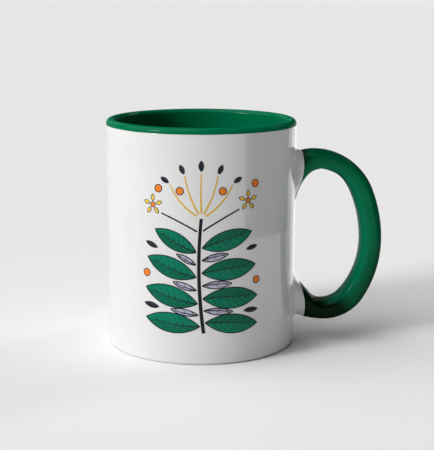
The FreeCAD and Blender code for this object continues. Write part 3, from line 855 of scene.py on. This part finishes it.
def handle_surface(along):
    """Points of the handle's skin for each section point, at its own way along the handle."""
    across, out, _ = SECTION
    outer, inner = OUTER(along), INNER(along)
    flat = (outer + inner) / 2 + (outer - inner) / 2 * out[:, None]
    clear = np.clip(1 - (flat[:, 0] - BODY_RADIUS) / SKIRT_RUN, 0, 1)
    spread = SKIRT_SPREAD * (1 - np.sqrt(1 - clear**2))
    sideways = across * (HANDLE_HALF_WIDTH + spread)
    sag = BODY_RADIUS - np.sqrt(BODY_RADIUS**2 - sideways**2)
    near_wall = np.clip(1 - (flat[:, 0] - BODY_RADIUS) / SAG_RUN, 0, 1) ** 2
    return np.column_stack([flat[:, 0] - sag * near_wall, sideways, flat[:, 1]])


def glaze_line(line, wall_end, loop_end):
    """How far along the handle each section point meets the round line where green glaze ends."""
    reach, radius, height = line
    centre = BODY_RADIUS + reach - radius
    near = np.full(SECTION[0].shape, wall_end)
    far = np.full(SECTION[0].shape, loop_end)
    for _ in range(LINE_HALVINGS):
        half = (near + far) / 2
        skin = handle_surface(half)
        beyond = np.hypot(skin[:, 0] - centre, skin[:, 2] - height) > radius
        far = np.where(beyond, half, far)
        near = np.where(beyond, near, half)
    return (near + far) / 2


def swept_piece(name, material, start, end, rows, swell=None, shade=None):
    """A closed stretch of the handle between two lines round it, its ends capped."""
    count = len(SECTION[0])
    points, faces, thin_and_lit, painted_shade = [], [], [], []
    for row in range(rows + 1):
        share = row / rows
        skin = handle_surface(start + (end - start) * share)
        if swell is not None:
            outward = skin - skin.mean(axis=0)
            outward /= np.linalg.norm(outward, axis=1)[:, None]
            skin = skin + outward * swell(share)
        points.extend(skin.tolist())
        if shade is not None:
            for values, found in zip((thin_and_lit, painted_shade), shade(share)):
                values.extend(found.tolist())
    for row in range(rows):
        for i in range(count):
            a, b = row * count + i, row * count + (i + 1) % count
            faces.append((a, b, b + count, a + count))
    faces.append(tuple(range(count))[::-1])
    faces.append(tuple(rows * count + i for i in range(count)))
    piece = new_piece(name, points, faces, material)
    if shade is not None:
        # Marks for paler glaze with painted light, and for painted shade
        mark(piece, "thin glaze and painted light", thin_and_lit)
        mark(piece, "painted shade", painted_shade)
    point_outwards(piece)
    return piece


def loop_shade(share):
    """Paler and darker green at a share of the bar: thinning glaze, painted light, painted shade.

    The glaze is a little paler over the section's edges, where it thins. The finger side is
    painted lighter as if lit, and painted shade darkens the outside, the upper end, the lower bend
    and the lower arm by the root.
    """
    _, out, edge = SECTION
    # Painted light: the finger side is made paler as if lit
    finger = eased(out, *FINGER_ACROSS) * eased(share, *FINGER_ALONG)
    outer = eased(out, *OUTER_ACROSS) * eased(share, *OUTER_ALONG)
    start = eased(out, *START_ACROSS) * eased(share, *START_ALONG)
    bend = eased(out, *BEND_ACROSS) * eased(share, *BEND_ALONG)
    low = eased(out, *LOW_ACROSS) * eased(share, *LOW_ALONG)
    root = eased(share, *ROOT_ALONG)
    thin_and_lit = np.clip(EDGE_THIN * edge + FINGER_PAINTED_LIGHT * finger, 0, 1) * (1 - root)
    # Painted shade: outside, at the upper end, in the lower bend and low on the arm by the root
    painted_shade = OUTER_PAINTED_SHADE * outer + START_PAINTED_SHADE * start + BEND_PAINTED_SHADE * bend + root
    painted_shade = painted_shade + LOW_PAINTED_SHADE * low * (1 - LOW_OUTER_RELIEF * outer)
    return thin_and_lit, np.clip(painted_shade, 0, DARKEST_PAINTED_SHADE)


def loop_bead(share):
    """How far the green glaze stands proud of the white at a share of the bar."""
    rows_in = min(share, 1 - share) * LOOP_ROWS
    return GLAZE_BEAD * (1 - math.exp(-rows_in * BEAD_RISE))


def build_handle(green, white):
    """The green bar and the two white roots, which meet it along its glaze lines."""
    upper = glaze_line(UPPER_GLAZE_LINE, 0.0, LINE_SEARCH)
    lower = glaze_line(LOWER_GLAZE_LINE, HANDLE_END, HANDLE_END - LINE_SEARCH)
    start, end = np.zeros(upper.shape), np.full(upper.shape, HANDLE_END)
    bar = swept_piece("handle_bar", green, upper, lower, LOOP_ROWS, loop_bead, loop_shade)
    place_piece(bar, "green_glaze", "handle_loop")
    above = swept_piece("handle_root_above", white, start, upper, ROOT_ROWS)
    place_piece(above, "white_glaze", "upper_root")
    below = swept_piece("handle_root_below", white, lower, end, ROOT_ROWS)
    place_piece(below, "white_glaze", "lower_root")


def build_cup(white, green, clay):
    """The white cup, its green lining and the bare ring that it stands on."""
    cup = turned_piece("cup", cup_outline(), white, WAVE_HEIGHT)
    place_piece(cup, "white_glaze", "cup_body")
    lining = turned_piece("lining", lining_outline(), green, WAVE_HEIGHT)
    mark_thin_lip(lining)
    place_piece(lining, "green_glaze", "green_lining")
    foot = turned_piece("foot", foot_outline(), clay)
    place_piece(foot, "bare_clay", "foot_ring")


def mark_thin_lip(lining):
    """Glaze thins over the crest of the lip."""
    heights = [v.co.z - LIP_HEIGHT for v in lining.data.vertices]
    rises = [max(0.0, min(1.0, height / (WALL / 2))) for height in heights]
    mark(lining, "thin glaze and painted light", [THIN_LIP * rise**2 for rise in rises])


# The print: flat figures in the unrolled layout, pressed on to the wall by the node tree


def on_print(place_shares):
    """A place of the layout in metres, across the unrolled wall and up from the table."""
    across, up = place_shares
    return Vector((across * PRINT_WIDTH, PRINT_MIDDLE + up * PRINT_HEIGHT))


def beside_stem(side, up):
    """The place just clear of the stem's edge at a height of the layout."""
    (foot, bottom), (head, top), bow = STEM_SHARES
    rise = (up - bottom) / (top - bottom)
    length = (top - bottom) * PRINT_HEIGHT
    lean = foot + (head - foot) * rise - 4 * rise * (1 - rise) * bow * length / PRINT_WIDTH
    return lean + side * (STEM_WIDTH / 2 + STEM_GAP) / PRINT_WIDTH, up


class Flat:
    """Flat figures gathered into one piece, each point in one of the ink's two shades."""

    def __init__(self):
        self.points, self.faces, self.shades = [], [], []

    def strip(self, left, right, rows, shade=0.0):
        """A sheet between two lines of the same number of points, finely divided."""
        first, count = len(self.points), len(left)
        for row in range(rows + 1):
            share = row / rows
            self.points += [a.lerp(b, share) for a, b in zip(left, right)]
            self.shades += [shade] * count
        for row in range(rows):
            for i in range(count - 1):
                a = first + row * count + i
                corners = (a, a + 1, a + 1 + count, a + count)
                self.faces.append(corners if self.faces_out(corners) else corners[::-1])

    def faces_out(self, corners):
        """Whether a flat face will look out of the wall, which its corners' turn tells."""
        a, b, c, d = (self.points[i] for i in corners)
        return (c - a).cross(d - b) > 0

    def leaf(self, base, tip, fullness):
        """A leaf in two halves, one in each shade."""
        (first, second), spine = leaf_edges(base, tip, fullness)
        self.strip(first, spine, LEAF_ROWS)
        self.strip(spine, second, LEAF_ROWS, shade=1.0)

    def ribbon(self, line, width, taper=1.0):
        """A line of a width that narrows evenly to a share of itself."""
        left, right = [], []
        for i, point in enumerate(line):
            along = line[min(i + 1, len(line) - 1)] - line[max(i - 1, 0)]
            across = Vector((-along.y, along.x)).normalized()
            half = width / 2 * (1 + (taper - 1) * i / (len(line) - 1))
            left.append(point + across * half)
            right.append(point - across * half)
        self.strip(left, right, 1)

    def disc(self, centre, radius):
        """A filled circle."""
        rim = circle(centre, radius, DISC_SPOKES)
        self.strip([centre] * len(rim), rim, DISC_ROWS)

    def ring(self, centre, radius, width):
        """A line round a circle."""
        inner = circle(centre, radius - width / 2, RING_SPOKES)
        self.strip(inner, circle(centre, radius + width / 2, RING_SPOKES), 1)

    def press(self, name, slot, material, node, thickness=GROUND_INK, lift=0.0):
        """Presses the figures on the wall as one piece that stands for its solids."""
        flat = new_piece(f"{name}_flat", [(p.x, 0, p.y) for p in self.points], self.faces)
        mark(flat, "ink shade", self.shades)
        sizes = {
            "Wall Radius": BODY_RADIUS,
            "Lift": lift,
            "Ink Thickness": thickness,
            "Weld Distance": INK_WELD,
            "Material": material,
        }
        piece = shaped(flat, PRESS, sizes, name)
        piece.data.shade_flat()
        place_piece(piece, slot, node)


def circle(centre, radius, spokes):
    """Points once round a circle from straight up, the first of them again at the end."""
    angles = [math.tau * i / spokes for i in range(spokes + 1)]
    return [centre + Vector((math.sin(a), math.cos(a))) * radius for a in angles]


def leaf_edges(base, tip, fullness, step=INK_STEP):
    """The two edges of a leaf, arcs from its base to its tip, and the line between them."""
    base, tip = on_print(base), on_print(tip)
    along = tip - base
    length = along.length
    across = Vector((-along.y, along.x)) / length
    height = fullness * length
    radius = (length**2 / 4 + height**2) / (2 * height)
    count = max(8, math.ceil(length / step))
    spine, first, second = [], [], []
    for i in range(count + 1):
        share = i / count
        half = math.sqrt(radius**2 - (length * (share - 0.5)) ** 2) - (radius - height)
        point = base + along * share
        spine.append(point)
        first.append(point + across * half)
        second.append(point - across * half)
    return (first, second), spine


def bowed(start, end, bow):
    """Points along a bowed line between two places of the flat wall."""
    along = end - start
    across = Vector((-along.y, along.x))
    count = max(4, math.ceil(along.length / INK_STEP))
    shares = [i / count for i in range(count + 1)]
    return [start + along * share + across * (4 * share * (1 - share) * bow) for share in shares]


def leaf_lines(lines, base, tip, fullness, side_veins):
    """A leaf's outline, its midrib and its side veins."""
    edges, spine = leaf_edges(base, tip, fullness)
    start, end = spine[0], spine[-1]
    for edge in edges:
        lines.ribbon(edge, OUTLINE_WIDTH)
    midrib = bowed(start, start.lerp(end, MIDRIB_REACH), MIDRIB_BOW)
    lines.ribbon(midrib, VEIN_WIDTH, MIDRIB_TAPER)
    for number in range(side_veins):
        share = SIDE_VEIN_START + SIDE_VEIN_SPAN * number / max(1, side_veins - 1)
        place = start.lerp(end, share)
        for edge, bow in zip(edges, (SIDE_VEIN_BOW, -SIDE_VEIN_BOW)):
            reach = min(share + SIDE_VEIN_LEAN, SIDE_VEIN_LAST) * (len(edge) - 1)
            whole = min(int(reach), len(edge) - 2)
            goal = edge[whole].lerp(edge[whole + 1], reach - whole)
            vein = bowed(place, place.lerp(goal, SIDE_VEIN_REACH), bow)
            lines.ribbon(vein, SIDE_VEIN_WIDTH, SIDE_VEIN_TAPER)


def add_bloom(place_shares, petals, eyes, lines):
    """A bloom's eye and its petals, each outlined."""
    centre = on_print(place_shares)
    eyes.disc(centre, BLOOM_RADIUS * EYE_SHARE)
    lines.ring(centre, BLOOM_RADIUS * EYE_SHARE, OUTLINE_WIDTH * EYE_OUTLINE)
    for number in range(PETAL_COUNT):
        angle = math.tau * number / PETAL_COUNT
        tip = (
            place_shares[0] + BLOOM_RADIUS * math.sin(angle) / PRINT_WIDTH,
            place_shares[1] + BLOOM_RADIUS * math.cos(angle) / PRINT_HEIGHT,
        )
        base = tuple(a + (b - a) * PETAL_FOOT_SHARE for a, b in zip(place_shares, tip))
        petals.leaf(base, tip, PETAL_FULLNESS_SHARE)
        for edge in leaf_edges(base, tip, PETAL_FULLNESS_SHARE, PETAL_STEP)[0]:
            lines.ribbon(edge, OUTLINE_WIDTH * PETAL_OUTLINE)


def build_print():
    """The sprig, its figures gathered by ink and each ink pressed on as one piece."""
    dark, leaves, pale, gold, orange, lines = (Flat() for _ in range(6))
    foot, head, bow = STEM_SHARES
    dark.ribbon(bowed(on_print(foot), on_print(head), bow), STEM_WIDTH, STEM_TAPER)
    for side, up, tip, bow in TWIG_SHARES:
        twig = bowed(on_print(beside_stem(side, up)), on_print(tip), bow)
        dark.ribbon(twig, TWIG_WIDTH, TWIG_TAPER)
    for base, tip, fullness in DARK_LEAF_SHARES + BUD_SHARES:
        dark.leaf(base, tip, fullness)
    grown = ((leaves, LEAF_SHARES, LEAF_VEINS), (pale, PALE_LEAF_SHARES, PALE_LEAF_VEINS))
    for ground, leaf_shares, side_veins in grown:
        for side, up, tip, fullness in leaf_shares:
            base = beside_stem(side, up)
            ground.leaf(base, tip, fullness)
            leaf_lines(lines, base, tip, fullness, side_veins)
    for base, tip, bow in STALK_SHARES:
        gold.ribbon(bowed(on_print(base), on_print(tip), bow), TWIG_WIDTH, STALK_TAPER)
    for place_shares in BLOOM_SHARES:
        add_bloom(place_shares, gold, orange, lines)
    for place_shares in BERRY_SHARES:
        orange.disc(on_print(place_shares), BERRY_RADIUS)
        lines.ring(on_print(place_shares), BERRY_RADIUS, OUTLINE_WIDTH * BERRY_OUTLINE)
    inks = {name: ink(name) for name in INK_SHADES}
    dark.press("ink_dark", "dark_ink", inks["dark ink"], "print_stems")
    leaves.press("ink_leaves", "leaf_ink", inks["leaf ink"], "print_leaves")
    pale.press("ink_pale", "grey_ink", inks["lavender grey ink"], "print_pale_leaves")
    gold.press("ink_gold", "yellow_ink", inks["gold ink"], "print_petals")
    orange.press("ink_orange", "orange_ink", inks["orange ink"], "print_berries")
    lines.press("ink_lines", "dark_ink", inks["dark ink"], "print_veins", LINE_INK, LINE_LIFT)


# Stage, lights and camera

FLOOR_REACH = 30.0
FLOOR_RINGS = (0.3, 1.5, 6.0, FLOOR_REACH)
FLOOR_SPOKES = 96
RIM_BEND = 3.0
RIM_STEPS = 12
FLAG_RADIUS = 0.27
FLAG_HEIGHT = 0.5
FLAG_START = -40.0
FLAG_END = 32.0
FLAG_STEPS = 24
MATT = 0.9

# Far lights: degrees from straight left towards the camera, degrees up, degrees wide and strength
SUNS = {
    "key": (30, 20, 16, 2.05),
    "sky": (15, 52, 80, 2.2),
    "from behind": (215, 35, 16, 0.5),
    "from the far left": (-60, 20, 30, 0.2),
}
AIR_STRENGTH = 0.02
EDGE_CARD_PLACE = (0.073, 0.083, 0.045)
EDGE_CARD_TARGET = (0.038, -0.01, 0.045)
EDGE_CARD_SIZE = (0.073, 0.09)
EDGE_CARD_POWER = 0.013


def build_stage():
    """A pale floor that runs out of sight on every side, with a low rim far off."""
    rings = [(radius, 0.0) for radius in FLOOR_RINGS]
    for i in range(1, RIM_STEPS + 1):
        angle = math.pi / 2 * i / RIM_STEPS
        out, up = RIM_BEND * math.sin(angle), RIM_BEND * (1 - math.cos(angle))
        rings.append((FLOOR_REACH + out, up))
    points = [(0.0, 0.0, 0.0)]
    for radius, height in rings:
        for i in range(FLOOR_SPOKES):
            angle = math.tau * i / FLOOR_SPOKES
            points.append((radius * math.cos(angle), radius * math.sin(angle), height))
    faces = [(0, 1 + i, 1 + (i + 1) % FLOOR_SPOKES) for i in range(FLOOR_SPOKES)]
    for ring in range(len(rings) - 1):
        first = 1 + ring * FLOOR_SPOKES
        for i in range(FLOOR_SPOKES):
            here, after = first + i, first + (i + 1) % FLOOR_SPOKES
            faces.append((here, here + FLOOR_SPOKES, after + FLOOR_SPOKES, after))
    material, made = new_material("pale board")
    colour = mix_colour(made, drift(made, grain=3 * MM, detail=3.0), *FLOOR_SHADES)
    made.dress({"Base Color": colour, "Roughness": MATT, "Specular IOR Level": 0.0})
    floor = new_piece("floor", points, faces, material)


def add_edge_card():
    """A small bright card, seen in the glaze alone as the bright right edge of the wall."""
    data = bpy.data.lights.new("edge card", "AREA")
    data.shape = "RECTANGLE"
    data.size, data.size_y = EDGE_CARD_SIZE
    data.energy = EDGE_CARD_POWER
    card = bpy.data.objects.new("edge card", data)
    card.location = EDGE_CARD_PLACE
    aim = Vector(EDGE_CARD_TARGET) - Vector(EDGE_CARD_PLACE)
    card.rotation_euler = aim.to_track_quat("-Z", "Y").to_euler()
    card.visible_camera = False
    card.visible_diffuse = False
    bpy.context.scene.collection.objects.link(card)


def add_sun(name, turn_left, height, spread, strength):
    """A far light, placed by two angles, with its width in the sky and its strength."""
    data = bpy.data.lights.new(name, "SUN")
    data.angle = math.radians(spread)
    data.energy = strength
    light = bpy.data.objects.new(name, data)
    across, up = math.radians(turn_left), math.radians(height)
    level = math.cos(up)
    place = Vector((-math.cos(across) * level, -math.sin(across) * level, math.sin(up)))
    light.rotation_euler = place.to_track_quat("Z", "Y").to_euler()
    bpy.context.scene.collection.objects.link(light)


def build_lights():
    """The far lights, the edge card and a little light from all round."""
    for name, values in SUNS.items():
        add_sun(name, *values)
    add_edge_card()
    world = bpy.data.worlds.new("studio")
    world.use_nodes = True
    air = world.node_tree.nodes["Background"]
    air.inputs["Color"].default_value = (1.0, 1.0, 1.0, 1)
    air.inputs["Strength"].default_value = AIR_STRENGTH
    bpy.context.scene.world = world
    bpy.context.scene.view_settings.view_transform = "Standard"


def build_flag():
    """A dark curved card out of view on the right, which the wall mirrors as a darker panel."""
    points = []
    for i in range(FLAG_STEPS + 1):
        angle = math.radians(FLAG_START + (FLAG_END - FLAG_START) * i / FLAG_STEPS)
        across, along = FLAG_RADIUS * math.cos(angle), FLAG_RADIUS * math.sin(angle)
        points += [(across, along, 0.0), (across, along, FLAG_HEIGHT)]
    faces = [(2 * i, 2 * i + 2, 2 * i + 3, 2 * i + 1) for i in range(FLAG_STEPS)]
    material, made = new_material("dark card")
    made.dress({"Base Color": DARK_CARD, "Roughness": MATT})
    flag = new_piece("flag", points, faces, material)
    flag.visible_camera = False
    flag.visible_shadow = False
    flag.visible_diffuse = False


# The camera was found from the photograph by fitting the rim, the sides and the foot
CAMERA_DISTANCE = 0.4828
CAMERA_HEIGHT = 0.1477
CAMERA_YAW = 0.014
CAMERA_PITCH = 0.200
CAMERA_ROLL = 0.004
LENS = 91.84
SENSOR_WIDTH = 36


def build_camera():
    """The photograph's camera, which leans a little and has no shift."""
    data = bpy.data.cameras.new("camera")
    data.lens = LENS
    data.sensor_width = SENSOR_WIDTH
    camera = bpy.data.objects.new("camera", data)
    flat = math.cos(CAMERA_PITCH)
    ahead = Vector(
        (math.sin(CAMERA_YAW) * flat, math.cos(CAMERA_YAW) * flat, -math.sin(CAMERA_PITCH))
    )
    level = Vector((math.cos(CAMERA_YAW), -math.sin(CAMERA_YAW), 0))
    upward = level.cross(ahead)
    right = math.cos(CAMERA_ROLL) * level + math.sin(CAMERA_ROLL) * upward
    above = -math.sin(CAMERA_ROLL) * level + math.cos(CAMERA_ROLL) * upward
    turned = Matrix((right, above, -ahead)).transposed().to_4x4()
    camera.matrix_world = Matrix.Translation((0, -CAMERA_DISTANCE, CAMERA_HEIGHT)) @ turned
    bpy.context.scene.collection.objects.link(camera)
    bpy.context.scene.camera = camera


WHEEL = wheel_tree()
PRESS = press_tree()
OUTER = sampler(outer_outline())
INNER = sampler(inner_outline())


def main():
    """Everything, in order."""
    white, green, clay = white_glaze(), green_glaze(), bare_clay()
    build_cup(white, green, clay)
    build_handle(green, white)
    build_print()
    build_stage()
    build_flag()
    build_lights()
    build_camera()


main()
